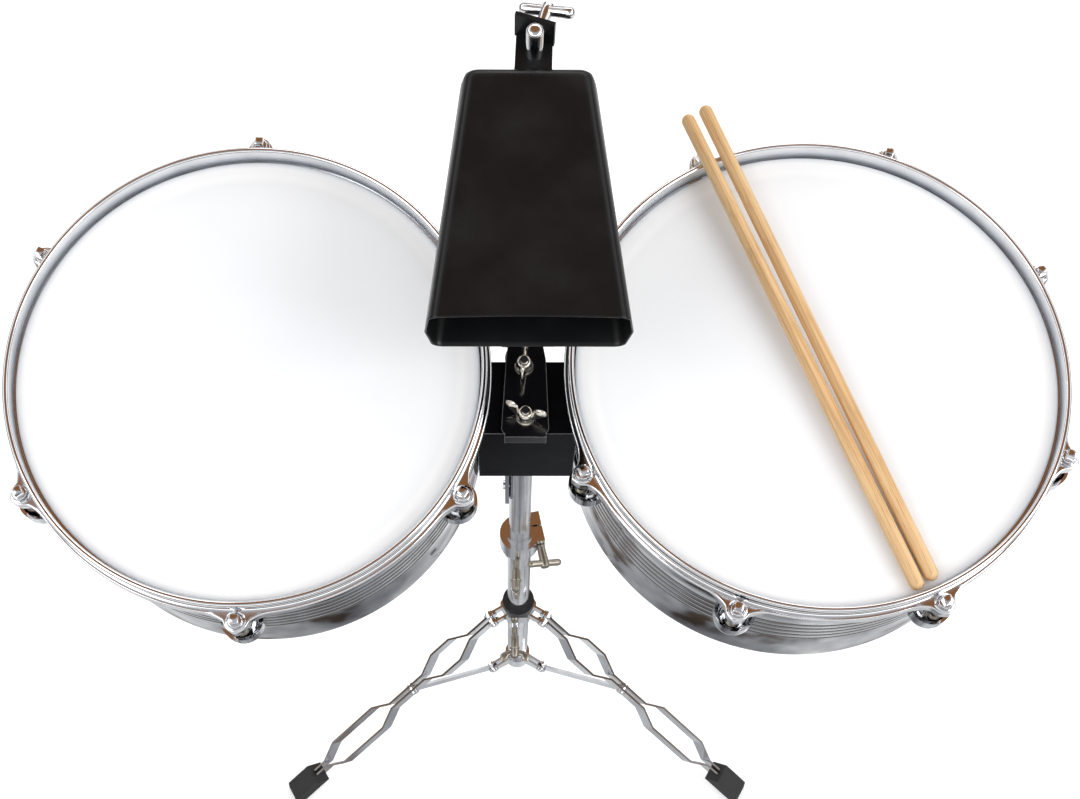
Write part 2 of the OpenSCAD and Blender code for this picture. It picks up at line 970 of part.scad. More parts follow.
// Rivet ends at the meeting point with the brace; the brace's layer is left free.
module leg_rivets() {
  inner = strip_pinch - leg_t / 2;
  outer = strip_pinch + leg_t / 2;
  for (s = [-1, 1])
    translate([arm_half, 0, 0])
      rotate([-90 * s, 0, 0]) {
        ring(pin_r + fit, 0, inner, outer);
        ring(5.5, 0, outer, outer + 2);
      }
}

module leg(i) {
  down_leg(i, chrome)
    union() {
      leg_strips();
      leg_rivets();
    }
}

module brace(i) {
  at_leg(i, chrome)
    translate([pin_ring_r, 0, hub_z])
      rotate([0, -leg_fall, 0])
        difference() {
          union() {
            translate([0, -brace_t / 2, -6])
              cube([arm_half, brace_t, 12]);
            for (x = [0, arm_half])
              translate([x, 0, 0])
                rotate([90, 0, 0])
                  cylinder(r = 6, h = brace_t, center = true, $fn = 48);
          }
          strip_holes();
        }
}

module foot(i) {
  at_leg(i, rubber_black)
    difference() {
      rotate([90, 0, 0])
        linear_extrude(height = 25, center = true)
          polygon([[288, 38], [305, 55], [336, 24], [338, 0], [326, 0]]);
      translate([pin_ring_r, 0, collar_z])
        rotate([0, leg_fall, 0])
          for (s = [-1, 1])
            translate([330, s * strip_pinch - leg_t / 2, -leg_w / 2])
              cube([leg_len - 330, leg_t, leg_w]);
    }
}

module leg_1() { leg(0); }
module leg_2() { leg(1); }
module leg_3() { leg(2); }
module foot_1() { foot(0); }
module foot_2() { foot(1); }
module foot_3() { foot(2); }
module brace_1() { brace(0); }
module brace_2() { brace(1); }
module brace_3() { brace(2); }

// ---- sticks ----

// Round rod from p towards q, in the larger drum's frame, with domed ends.
module stick(p, q) {
  v = q - p;
  in_drum(large_drum, hickory)
    translate(p)
      rotate([0, acos(v[2] / norm(v)), atan2(v[1], v[0])]) {
        translate([0, 0, stick_r])
          cylinder(r = stick_r, h = stick_len - 2 * stick_r, $fn = 48);
        for (z = [stick_r, stick_len - stick_r])
          translate([0, 0, z])
            sphere(r = stick_r, $fn = 48);
      }
}

module stick_1() { stick([-91.7, 203, 7.4], [60.5, -165.5, -8.35]); }
module stick_2() { stick([-78, 211, 7.5], [72, -161, -8.35]); }

shell_small();
head_small();
flesh_hoop_small();
rim_small();
lugs_small();
tension_rods_small();
rod_washers_small();
lug_nuts_small();
lug_screws_small();
shell_large();
head_large();
flesh_hoop_large();
rim_large();
lugs_large();
tension_rods_large();
rod_washers_large();
lug_nuts_large();
lug_screws_large();
bracket();
bracket_screws();
cowbell_arm();
arm_bolts();
wing_nut_front();
wing_nut_rear();
post_socket();
post_screw();
post();
cowbell();
cowbell_bracket();
cowbell_t_bolt();
tilter_block();
tilt_ears();
tilt_bolt();
tilt_handle();
side_strap();
strap_rivets();
upper_tube();
height_clamp();
clamp_bush();
clamp_t_bolt();
lock_wing_bolt();
lower_tube();
leg_collar();
collar_bush();
collar_pins();
collar_wing_bolt();
lower_hub();
hub_pins();
leg_1();
leg_2();
leg_3();
foot_1();
foot_2();
foot_3();
brace_1();
brace_2();
brace_3();
stick_1();
stick_2();
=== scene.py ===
import bpy
import bmesh
import json
import math
from mathutils import Matrix, Vector


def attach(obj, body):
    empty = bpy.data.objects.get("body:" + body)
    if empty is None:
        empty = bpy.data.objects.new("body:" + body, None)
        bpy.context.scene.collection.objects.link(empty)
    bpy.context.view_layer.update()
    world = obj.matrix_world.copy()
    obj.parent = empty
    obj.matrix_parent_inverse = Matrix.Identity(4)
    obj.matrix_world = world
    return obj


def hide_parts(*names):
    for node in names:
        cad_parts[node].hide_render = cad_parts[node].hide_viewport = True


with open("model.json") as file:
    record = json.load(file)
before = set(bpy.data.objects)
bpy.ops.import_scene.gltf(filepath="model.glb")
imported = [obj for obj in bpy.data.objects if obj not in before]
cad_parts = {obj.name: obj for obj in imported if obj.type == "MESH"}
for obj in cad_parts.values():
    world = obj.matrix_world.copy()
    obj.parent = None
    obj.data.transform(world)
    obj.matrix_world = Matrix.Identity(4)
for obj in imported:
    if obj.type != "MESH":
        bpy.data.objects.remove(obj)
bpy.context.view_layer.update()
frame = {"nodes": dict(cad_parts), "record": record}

MM = 0.001
CENTRE_SHIFT = Vector((-16.285, -36.835, 0.0))
PIVOT = Vector((0.0, 0.0, 1010.0))
HEAD_LEAN = 5.0
CLAMP_TURN = 12.0

# The stand's frame, and the leaning frame of the head, as matrices into metres.
STAND = Matrix.Diagonal((MM, MM, MM, 1.0)) @ Matrix.Translation(CENTRE_SHIFT)
HEAD = STAND @ Matrix.Translation(PIVOT) @ Matrix.Rotation(math.radians(HEAD_LEAN), 4, "X")

# shell radius, lugs, first lug angle, centre of the rim top, own lean
DRUMS = {
    "small": (165.1, 6, 29.9, (-198.0, -67.7, 140.0), 1.5),
    "large": (177.8, 8, 24.5, (216.4, -54.2, 109.2), -1.5),
}
# the film and the grooves lie below the rim's top, and the rods outside the shell
FILM_DROP = 13.9
GROOVES = (-73.0, -83.5, -94.0, -104.5, -115.0)
GROOVE_ZONE = (60.0, 130.0)
ROD_RING = 13.6
# the cowbell's post, in the head's frame
POST_AT = (6.0, 125.0)
POST_R, POST_TOP, POST_FOOT = 6.0, 276.0, 61.7


def turn(degrees, axis):
    return Matrix.Rotation(math.radians(degrees), 4, axis)


def shift(*place):
    return Matrix.Translation(place)


def drum_matrix(size):
    *_, place, lean = DRUMS[size]
    return HEAD @ shift(*place) @ turn(lean, "X")


# ---- materials ----

BLACK = (0.0, 0.0, 0.0)
WHITE = (1.0, 1.0, 1.0)


class Nodes:
    """Short calls that build one node tree."""

    def __init__(self, tree):
        self.tree = tree

    def node(self, kind, **values):
        n = self.tree.nodes.new(kind)
        for key, value in values.items():
            setattr(n, key, value)
        return n

    def link(self, a, b):
        self.tree.links.new(a, b)

    def ramp(self, source, stops):
        r = self.node("ShaderNodeValToRGB")
        while len(r.color_ramp.elements) < len(stops):
            r.color_ramp.elements.new(0.5)
        for e, (at, colour) in zip(r.color_ramp.elements, stops):
            e.position = at
            e.color = (*colour, 1.0)
        self.link(source, r.inputs["Fac"])
        return r.outputs["Color"]

    def mask(self, source, start, stop):
        return self.ramp(source, [(start, BLACK), (stop, WHITE)])

    def mix(self, factor, a, b, mode="MIX"):
        m = self.node("ShaderNodeMix", data_type="RGBA", blend_type=mode)
        for value, socket in ((factor, m.inputs[0]), (a, m.inputs[6]), (b, m.inputs[7])):
            if isinstance(value, (int, float)):
                socket.default_value = value
            elif isinstance(value, tuple):
                socket.default_value = (*value, 1.0)
            else:
                self.link(value, socket)
        return m.outputs[2]

    def map_range(self, source, from_min, from_max, to_min=0.0, to_max=1.0):
        r = self.node("ShaderNodeMapRange")
        r.inputs["From Min"].default_value = from_min
        r.inputs["From Max"].default_value = from_max
        r.inputs["To Min"].default_value = to_min
        r.inputs["To Max"].default_value = to_max
        self.link(source, r.inputs["Value"])
        return r.outputs["Result"]

    def vector_math(self, operation, a, b):
        """The node of a vector sum; b is a fixed vector or a socket."""
        n = self.node("ShaderNodeVectorMath", operation=operation)
        self.link(a, n.inputs[0])
        if isinstance(b, (tuple, Vector)):
            n.inputs[1].default_value = b
        else:
            self.link(b, n.inputs[1])
        return n


class Paint(Nodes):
    """One surface material."""

    NOISE_LOW, NOISE_HIGH = 0.3, 0.7
    EDGE_START, EDGE_FULL = 0.985, 0.90

    def __init__(self, name, colour, metallic, roughness):
        self.mat = bpy.data.materials.new(name)
        self.mat.use_nodes = True
        super().__init__(self.mat.node_tree)
        self.bsdf = self.tree.nodes["Principled BSDF"]
        self.bsdf.inputs["Base Color"].default_value = (*colour, 1.0)
        self.bsdf.inputs["Metallic"].default_value = metallic
        self.bsdf.inputs["Roughness"].default_value = roughness
        self.coords = self.node("ShaderNodeTexCoord").outputs["Object"]
        self.height = None

    def noise(self, scale, detail, stretch=(1, 1, 1), rough=0.5):
        m = self.node("ShaderNodeMapping")
        m.inputs["Scale"].default_value = stretch
        self.link(self.coords, m.inputs["Vector"])
        n = self.node("ShaderNodeTexNoise")
        n.inputs["Scale"].default_value = scale
        n.inputs["Detail"].default_value = detail
        n.inputs["Roughness"].default_value = rough
        self.link(m.outputs["Vector"], n.inputs["Vector"])
        return n.outputs["Fac"]

    def colour(self, socket):
        self.link(socket, self.bsdf.inputs["Base Color"])

    def rough(self, source, low, high):
        spread = self.map_range(source, self.NOISE_LOW, self.NOISE_HIGH, low, high)
        self.link(spread, self.bsdf.inputs["Roughness"])

    def edge_mask(self, radius):
        """1 along sharp edges, 0 on the flats."""
        soft = self.node("ShaderNodeBevel")
        soft.inputs["Radius"].default_value = radius
        flat = self.node("ShaderNodeNewGeometry").outputs["Normal"]
        facing = self.vector_math("DOT_PRODUCT", soft.outputs["Normal"], flat)
        return self.map_range(facing.outputs["Value"], self.EDGE_START, self.EDGE_FULL)

    def bump(self, source, strength, distance):
        b = self.node("ShaderNodeBump")
        b.inputs["Strength"].default_value = strength
        b.inputs["Distance"].default_value = distance
        self.link(source, b.inputs["Height"])
        if self.height is not None:
            self.link(self.height, b.inputs["Normal"])
        self.height = b.outputs["Normal"]
        self.link(self.height, self.bsdf.inputs["Normal"])


def chrome(name, colour, low, high):
    """Plating: patches of haze, slow waves and a fine polish."""
    p = Paint(name, colour, 1.0, low)
    haze = p.noise(38.0, 5.0)
    dark = tuple(c * 0.86 for c in colour)
    p.colour(p.mix(p.mask(haze, 0.35, 0.75), colour, dark))
    p.rough(haze, low, high)
    p.bump(p.noise(14.0, 2.0), 0.15, 0.002)
    p.bump(p.noise(900.0, 2.0, (1, 1, 0.08)), 0.03, 0.0002)
    return p.mat


def coated_black(name, colour, low, high, grain, strength, sheen, edge):
    """Black coat with a fine grain; the last argument is how bright a painted highlight along its folded
    edges is, 0 for none.
    """
    p = Paint(name, colour, 0.0, low)
    p.bsdf.inputs["Specular IOR Level"].default_value = sheen
    fine = p.noise(grain, 4.0)
    wear = p.noise(22.0, 6.0)
    light = tuple(c * 1.5 + 0.003 for c in colour)
    body = p.mix(p.mask(wear, 0.45, 0.8), colour, light)
    if edge:
        # painted highlight: the folded edges are lightened, standing in for the light they catch
        body = p.mix(p.edge_mask(1.0 * MM), body, (edge, edge, edge * 0.97))
    p.colour(body)
    p.rough(wear, low, high)
    p.bump(fine, strength, 0.0004)
    return p.mat


def coated_film(size):
    """White sprayed film; the coating stops short of the rim in a soft ring."""
    p = Paint("coated_film_" + size, (0.86, 0.86, 0.86), 0.0, 0.5)
    away = p.vector_math("DISTANCE", p.coords, drum_matrix(size) @ Vector((0.0, 0.0, -FILM_DROP)))
    share = p.node("ShaderNodeMath", operation="DIVIDE")
    p.link(away.outputs["Value"], share.inputs[0])
    share.inputs[1].default_value = DRUMS[size][0] * MM
    zone = p.ramp(share.outputs[0], [
        (0.0, (0.84, 0.85, 0.865)), (0.60, (0.85, 0.86, 0.87)), (0.90, (0.865, 0.87, 0.872)),
        (0.93, (0.93, 0.93, 0.925)), (0.975, (0.92, 0.92, 0.92)), (1.0, (0.70, 0.73, 0.76))])
    smudge = p.ramp(p.noise(6.0, 4.0), [(0.35, WHITE), (0.75, (0.965, 0.965, 0.97))])
    p.colour(p.mix(1.0, zone, smudge, "MULTIPLY"))
    p.rough(p.noise(30.0, 4.0), 0.42, 0.6)
    p.bump(p.noise(1500.0, 3.0), 0.22, 0.0003)
    return p.mat


def grooved_steel(size):
    """Polished shell; the rolled grooves hold a little shade."""
    steel = (0.70, 0.70, 0.71)
    groove_shade = (0.10, 0.09, 0.08)
    p = Paint("shell_steel_" + size, steel, 1.0, 0.06)
    haze = p.noise(38.0, 5.0)
    matrix = drum_matrix(size)
    axis = (matrix.to_3x3() @ Vector((0.0, 0.0, 1.0))).normalized()
    away = p.vector_math("SUBTRACT", p.coords, matrix.translation)
    depth = p.vector_math("DOT_PRODUCT", away.outputs[0], -axis)
    start, stop = GROOVE_ZONE
    share = p.map_range(depth.outputs["Value"], start * MM, stop * MM)
    stops = []
    for g in GROOVES:
        at = (-g - start) / (stop - start)
        stops += [(at - 0.036, WHITE), (at - 0.012, groove_shade),
                  (at + 0.016, groove_shade), (at + 0.036, WHITE)]
    metal = p.mix(p.mask(haze, 0.35, 0.75), steel, (0.60, 0.60, 0.61))
    p.colour(p.mix(1.0, metal, p.ramp(share, stops), "MULTIPLY"))
    p.rough(haze, 0.05, 0.13)
    p.bump(p.noise(14.0, 2.0), 0.15, 0.002)
    return p.mat


def stick_wood():
    """Pale hickory; the grain runs along the stick's own Z."""
    p = Paint("stick_wood", (0.62, 0.40, 0.19), 0.0, 0.45)
    broad = p.noise(1.0, 3.0, (190.0, 190.0, 6.0))
    fine = p.noise(1.0, 4.0, (900.0, 900.0, 14.0))
    pore = p.noise(1.0, 2.0, (2200.0, 2200.0, 60.0))
    base = p.ramp(broad, [
        (0.30, (0.60, 0.36, 0.16)), (0.50, (0.72, 0.47, 0.23)), (0.72, (0.80, 0.57, 0.32))])
    streak = p.ramp(fine, [(0.38, (0.72, 0.62, 0.52)), (0.55, WHITE)])
    dots = p.ramp(pore, [(0.30, (0.62, 0.50, 0.40)), (0.40, WHITE)])
    p.colour(p.mix(0.8, p.mix(0.7, base, streak, "MULTIPLY"), dots, "MULTIPLY"))
    p.rough(fine, 0.36, 0.55)
    p.bump(fine, 0.25, 0.0003)
    return p.mat


MATS = {"stick_wood": stick_wood()}
# colour, then the smoothest and the roughest patch
for name, *values in (
        ("stand_chrome", (0.80, 0.81, 0.83), 0.05, 0.16),
        ("drum_chrome", (0.82, 0.83, 0.85), 0.04, 0.12),
        ("shell_steel", (0.70, 0.70, 0.71), 0.05, 0.13),
        ("nut_brass", (0.30, 0.27, 0.22), 0.25, 0.40),
        ("brass_tint", (0.72, 0.58, 0.32), 0.18, 0.32),
        ("warm_chrome", (0.90, 0.85, 0.76), 0.06, 0.16),
        ("dull_nickel", (0.34, 0.31, 0.26), 0.26, 0.40)):
    MATS[name] = chrome(name, *values)
# colour, smoothest, roughest, grain, its strength, sheen, painted highlight on folded edges
for name, *values in (
        ("black_lacquer", (0.005, 0.005, 0.006), 0.06, 0.16, 900.0, 0.05, 0.45, 0.30),
        ("bracket_lacquer", (0.004, 0.004, 0.005), 0.06, 0.16, 900.0, 0.05, 0.02, 0.30),
        ("satin_black_steel", (0.005, 0.0055, 0.006), 0.26, 0.38, 1500.0, 0.18, 0.28, 0.0),
        ("black_plastic", (0.010, 0.010, 0.011), 0.30, 0.48, 1200.0, 0.2, 0.4, 0.0),
        ("foot_rubber", (0.018, 0.018, 0.018), 0.55, 0.8, 700.0, 0.5, 0.5, 0.0)):
    MATS[name] = coated_black(name, *values)
for size in DRUMS:
    MATS["coated_film_" + size] = coated_film(size)
    MATS["shell_steel_" + size] = grooved_steel(size)
MATS["coated_film"] = MATS["coated_film_small"]

# ---- the CAD's own pieces ----

SLOTS = {s["node"]: s["material_slot"] for s in frame["record"]["subparts"]}
# widths of softened edges, and nodes that wear another look than their slot's
SOFT_EDGE = {
    "bracket": 0.7, "cowbell_arm": 0.8, "cowbell_bracket": 0.5, "height_clamp": 0.6, "tilt_ears": 0.5}
NODE_LOOK = {"bracket": "bracket_lacquer", "lug_nuts_small": "nut_brass", "lug_nuts_large": "nut_brass"}


def split_edges(obj, degrees):
    edges = obj.modifiers.new("sharp_edges", "EDGE_SPLIT")
    edges.split_angle = math.radians(degrees)


for name, obj in frame["nodes"].items():
    obj.data.materials.clear()
    obj.data.materials.append(MATS[NODE_LOOK.get(name, SLOTS[name])])
    obj.data.shade_smooth()
    if name in SOFT_EDGE:
        bevel = obj.modifiers.new("soft_edges", "BEVEL")
        bevel.width = SOFT_EDGE[name] * MM
        bevel.segments = 2
        bevel.limit_method = "ANGLE"
        bevel.angle_limit = math.radians(40.0)
    split_edges(obj, 30.0)


# ---- mesh helpers; points are in millimetres and a matrix takes them to metres ----

def add_piece(name, verts, faces, material, body, replaces, matrix, smooth_angle=35.0, place=None):
    data = bpy.data.meshes.new(name)
    data.from_pydata([matrix @ Vector(v) for v in verts], [], faces)
    grid = bmesh.new()
    grid.from_mesh(data)
    bmesh.ops.remove_doubles(grid, verts=grid.verts, dist=1e-6)
    bmesh.ops.recalc_face_normals(grid, faces=grid.faces)
    grid.to_mesh(data)
    grid.free()
    data.shade_smooth()
    data.materials.append(MATS[material])
    obj = bpy.data.objects.new(name, data)
    bpy.context.scene.collection.objects.link(obj)
    if place is not None:
        obj.matrix_world = place
        bpy.context.view_layer.update()
    split_edges(obj, smooth_angle)
    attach(obj, body)
    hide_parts(*replaces)


def circle(steps):
    return (2 * math.pi * k / steps for k in range(steps))


def arc(cx, cz, r, start, stop, steps):
    angles = (math.radians(start + (stop - start) * k / steps) for k in range(steps + 1))
    return [(cx + r * math.cos(a), cz + r * math.sin(a)) for a in angles]


class Solid:
    """Vertices and faces gathered from several simple shapes."""

    AXIS_R = 0.002
    BLADE_SEGMENTS = 20

    def __init__(self):
        self.verts = []
        self.faces = []

    def loops(self, rings, closed_profile=False):
        """Skin over rings of equal length; an open profile is capped at both ends."""
        base = len(self.verts)
        n = len(rings[0])
        for ring in rings:
            self.verts.extend(tuple(p) for p in ring)
        count = len(rings)
        for i in range(count if closed_profile else count - 1):
            a = base + i * n
            b = base + ((i + 1) % count) * n
            for k in range(n):
                l = (k + 1) % n
                self.faces.append((a + k, a + l, b + l, b + k))
        if not closed_profile:
            self.faces.append(tuple(base + k for k in reversed(range(n))))
            self.faces.append(tuple(base + (count - 1) * n + k for k in range(n)))

    def lathe(self, profile, matrix, segments, closed_profile=False):
        """Turns (radius, height) points about Z; radius 0 at an end closes to a point."""
        rings = []
        for r, h in profile:
            r = max(r, self.AXIS_R)
            rings.append([matrix @ Vector((r * math.cos(a), r * math.sin(a), h))
                          for a in circle(segments)])
        self.loops(rings, closed_profile)

    def blade(self, path, widths, depths, across):
        """Oval bar along path: widths lie in the path's plane, depths along across."""
        rings = []
        across = Vector(across).normalized()
        points = [Vector(p) for p in path]
        for i, p in enumerate(points):
            before = points[max(i - 1, 0)]
            after = points[min(i + 1, len(points) - 1)]
            wide = (after - before).normalized().cross(across).normalized()
            rings.append([p + wide * (widths[i] * math.cos(a)) + across * (depths[i] * math.sin(a))
                          for a in circle(self.BLADE_SEGMENTS)])
        self.loops(rings)


def turned(name, profile, material, body, replaces, matrix, segments, closed_profile=False):
    s = Solid()
    s.lathe(profile, Matrix.Identity(4), segments, closed_profile)
    add_piece(name, s.verts, s.faces, material, body, replaces, matrix)


# ---- drums ----

RIM_SEGMENTS = 720
DRUM_SEGMENTS = 288
FLANGE = 9.2
EAR_TAIL, EAR_HALF_WIDTH, EAR_CURVE = 12.2, 26.0, 2.3
EAR_CENTRE, EAR_ROUND, EAR_BLEND = 3.5, 8.6, 8
SHELL_TOP, SHELL_BOTTOM, SHELL_WALL, TURN_IN = -14.4, -178.8, 1.5, 7.9
RIM_SEAT = -15.8
ROD_R, ROD_END = 2.9, -63.0


def rim_profile(reach):
    """Rim section as (distance outside the shell, height); reach is the flange's outer edge."""
    points = [(2.2, -17.2), (2.2, -10.0), (2.2, -2.2)]
    points += arc(4.4, -2.2, 2.2, 180, -70, 20)
    points += [(4.5, -5.2), (4.2, -6.5), (4.2, -12.5)]
    points += arc(7.2, -12.9, 3.0, 180, 270, 6)
    points += [(reach * 0.5 + 3.6, -15.95)]
    points += arc(reach - 1.4, -17.4, 1.4, 90, 0, 5)
    points += [(reach, -21.0), (reach, -24.6)]
    points += arc(reach - 0.9, -25.0, 0.9, 0, -180, 6)
    points += [(reach - 1.8, -20.0), (reach - 2.2, -18.2), (4.0, -18.0)]
    return points


def ear_swell(x):
    """How far the flange grows at x along it from a rod: a long tail, then the round ear."""
    tail = EAR_TAIL * max(0.0, 1.0 - x / EAR_HALF_WIDTH) ** EAR_CURVE
    round_end = EAR_CENTRE + math.sqrt(EAR_ROUND ** 2 - x * x) if x < EAR_ROUND else 0.0
    return (tail ** EAR_BLEND + round_end ** EAR_BLEND) ** (1.0 / EAR_BLEND)


def make_rim(size):
    radius, lugs, first, *_ = DRUMS[size]
    columns = []
    for k in range(RIM_SEGMENTS):
        angle = 360.0 * k / RIM_SEGMENTS
        off = min(abs((angle - first - 360.0 * i / lugs + 180.0) % 360.0 - 180.0) for i in range(lugs))
        a = math.radians(angle)
        reach = FLANGE + ear_swell(math.radians(off) * (radius + ROD_RING))
        columns.append([((radius + p) * math.cos(a), (radius + p) * math.sin(a), h)
                        for p, h in rim_profile(reach)])
    s = Solid()
    s.loops([list(row) for row in zip(*columns)], closed_profile=True)
    add_piece("rim_%s_rolled" % size, s.verts, s.faces, "drum_chrome", "head",
              ("rim_" + size,), drum_matrix(size), 50.0)


def make_shell(size):
    radius = DRUMS[size][0]
    low = SHELL_BOTTOM
    outer = [(radius - 0.6, SHELL_TOP), (radius, SHELL_TOP - 1.0)]
    inner = []
    for g in GROOVES:
        outer += [(radius - inset, g + up) for inset, up in (
            (0.0, 1.9), (0.15, 1.35), (0.55, 0.75), (0.8, 0.0), (0.55, -0.75), (0.15, -1.35), (0.0, -1.9))]
    for g in reversed(GROOVES):
        inner += [(radius - SHELL_WALL - inset, g + up) for inset, up in (
            (0.0, -1.9), (0.6, -0.8), (0.8, 0.0), (0.6, 0.8), (0.0, 1.9))]
    outer += [(radius, low + 2.6)]
    outer += arc(radius - 2.4, low + 2.4, 2.4, 0, -90, 6)
    outer += [(radius - 7.0, low), (radius - TURN_IN, low + 0.8), (radius - TURN_IN, low + 6.6),
              (radius - 7.0, low + 6.8), (radius - 6.6, low + 1.9), (radius - 2.5, low + 1.6),
              (radius - SHELL_WALL, low + 2.8)]
    inner += [(radius - SHELL_WALL, SHELL_TOP - 1.8), (radius - 4.6, SHELL_TOP - 1.6),
              (radius - 4.6, SHELL_TOP - 0.4)]
    turned("shell_%s_spun" % size, outer + inner, "shell_steel_" + size, "head", ("shell_" + size,),
           drum_matrix(size), DRUM_SEGMENTS, True)


def make_film(size):
    radius = DRUMS[size][0]
    top = -FILM_DROP
    profile = [(radius * share, top) for share in (0.0, 0.3, 0.6, 0.8)]
    profile += [(radius - 14.0, top), (radius - 8.0, top - 0.02), (radius - 3.5, top - 0.12)]
    profile += arc(radius - 1.6, top - 2.7, 2.45, 90, 8, 8)
    profile += [(radius + 0.88, top - 6.0), (radius + 0.88, top - 10.5), (radius + 0.35, top - 10.5),
                (radius + 0.35, top - 4.0), (radius - 2.0, top - 0.45), (radius * 0.6, top - 0.4),
                (0.0, top - 0.4)]
    turned("film_%s" % size, profile, "coated_film_" + size, "head", ("head_" + size,),
           drum_matrix(size), DRUM_SEGMENTS)


def make_rods(size):
    """Rods with a round washer, a collar and a square key head, one for each lug."""
    radius, lugs, first, *_ = DRUMS[size]
    s = Solid()
    seat = RIM_SEAT
    for i in range(lugs):
        m = turn(first + 360.0 * i / lugs, "Z") @ shift(radius + ROD_RING, 0.0, 0.0)
        s.lathe([(ROD_R, seat), (6.2, seat), (7.0, seat + 0.4), (7.1, seat + 1.0), (6.6, seat + 1.8),
                 (5.9, seat + 2.0), (5.3, seat + 1.7), (5.1, seat + 1.3), (ROD_R, seat + 1.3)],
                m, 40, closed_profile=True)
        s.lathe([(0.0, ROD_END), (2.4, ROD_END), (ROD_R, ROD_END + 0.6), (ROD_R, seat + 1.2),
                 (4.6, seat + 1.4), (5.0, seat + 1.9), (5.0, seat + 3.6), (4.6, seat + 4.3),
                 (3.6, seat + 4.5), (0.0, seat + 4.5)], m, 32)
        rings = []
        for half, bevel, z in (
                (3.1, 0.5, seat + 4.2), (3.1, 0.5, -4.6), (2.9, 0.6, -3.7), (2.3, 0.9, -3.3)):
            flat = half - bevel
            rings.append([m @ Vector((x, y, z)) for x, y in (
                (half, -flat), (half, flat), (flat, half), (-flat, half),
                (-half, flat), (-half, -flat), (-flat, -half), (flat, -half))])
        s.loops(rings)
    add_piece("tension_rods_%s_turned" % size, s.verts, s.faces, "drum_chrome", "head",
              ("tension_rods_" + size, "rod_washers_" + size), drum_matrix(size), 40.0)


for size in DRUMS:
    make_rim(size)
    make_shell(size)
    make_film(size)
    make_rods(size)


# ---- cowbell ----

BELL_AT = (2.0, -75.0, 227.0)
BELL_TILT = 4.0
BELL = HEAD @ shift(*BELL_AT) @ turn(BELL_TILT - 90.0, "X")
BELL_LENGTH = 182.5
BELL_WALL = 1.3
BELL_CROWN = 2.6
# width, height and side radius, at the mouth and at the closed end
BELL_MOUTH = (138.0, 66.0, 18.0)
BELL_BACK = (92.0, 36.0, 10.0)
BELL_CORNER_R = 9.0
BELL_CORNER_REACH = 0.48
BELL_CORNER_STEPS = 8


def quarter(w, h, inset, side_r):
    """First quarter of the bell's outline: a round at mid height, then a corner set in a little."""
    sx, sr = w / 2 - side_r, side_r - inset
    cx, cy = w * BELL_CORNER_REACH - BELL_CORNER_R, h / 2 - BELL_CORNER_R
    cr = BELL_CORNER_R - inset
    dx, dy = cx - sx, cy
    meet = math.atan2(dy, dx) - math.acos((sr - cr) / math.hypot(dx, dy))
    steps = BELL_CORNER_STEPS
    points = []
    for k in range(steps + 1):
        a = meet * k / steps
        points.append((sx + sr * math.cos(a), sr * math.sin(a)))
    for k in range(steps + 1):
        a = meet + (math.pi / 2 - meet) * k / steps
        points.append((cx + cr * math.cos(a), cy + cr * math.sin(a)))
    return points


def bell_section(w, h, inset, side_r, crown, z):
    q = quarter(w, h, inset, side_r)
    flat, top = q[-1]
    run = [flat * (1.0 - k / 5.0) for k in range(1, 10)]
    outline = q + [(x, top) for x in run]
    outline += [(-x, y) for x, y in reversed(q)] + [(-x, -y) for x, y in q[1:]]
    outline += [(-x, -top - crown * (1.0 - (x / flat) ** 2)) for x in run]
    outline += [(x, -y) for x, y in reversed(q[1:])]
    return [(x, y, z) for x, y in outline]


def bell_at(t, inset, z=None, shrink=0.0):
    """Section at t of the way from mouth to back; inset moves it in, shrink scales it in."""
    w, h, side_r = (a + (b - a) * t for a, b in zip(BELL_MOUTH, BELL_BACK))
    height = BELL_LENGTH * t if z is None else z
    section = bell_section(w, h, inset, side_r, BELL_CROWN * (1.0 - t) ** 2, height)
    kx, ky = 1.0 - 2 * shrink / w, 1.0 - 2 * shrink / h
    return [(x * kx, y * ky, height) for x, y, height in section]


def make_cowbell():
    """Rings run from the inside of the back, out round the lip and over the outside."""
    wall = BELL_WALL
    floor_z = BELL_LENGTH - 2.0
    rings = [bell_at(1.0, wall, floor_z, 9.0), bell_at(1.0, wall, floor_z, 3.0),
             bell_at(0.985, wall, BELL_LENGTH * 0.975)]
    rings += [bell_at(t, wall) for t in (0.9, 0.7, 0.5, 0.3, 0.2, 0.1, 0.05, 0.02)]
    rings += [bell_at(0.0, wall, 0.5), bell_at(0.0, wall * 0.75, 0.1), bell_at(0.0, wall * 0.25, 0.05),
              bell_at(0.0, 0.0, 0.5)]
    rings += [bell_at(t, 0.0) for t in (0.01, 0.05, 0.1, 0.2, 0.3, 0.5, 0.7, 0.9, 0.96)]
    rings += [bell_at(0.975, 0.15), bell_at(0.99, 0.3, None, 0.6), bell_at(1.0, 0.5, BELL_LENGTH - 0.3, 2.0),
              bell_at(1.0, 0.5, BELL_LENGTH, 4.2), bell_at(1.0, 0.5, BELL_LENGTH, 9.0)]
    s = Solid()
    s.loops(rings)
    add_piece("cowbell_folded", s.verts, s.faces, "satin_black_steel", "bell", ("cowbell",), BELL, 60.0)


make_cowbell()


# ---- grips and screws ----

ARM_TOP = 77.2
BOLT_R = 3.4
THREAD_PITCH = 1.0


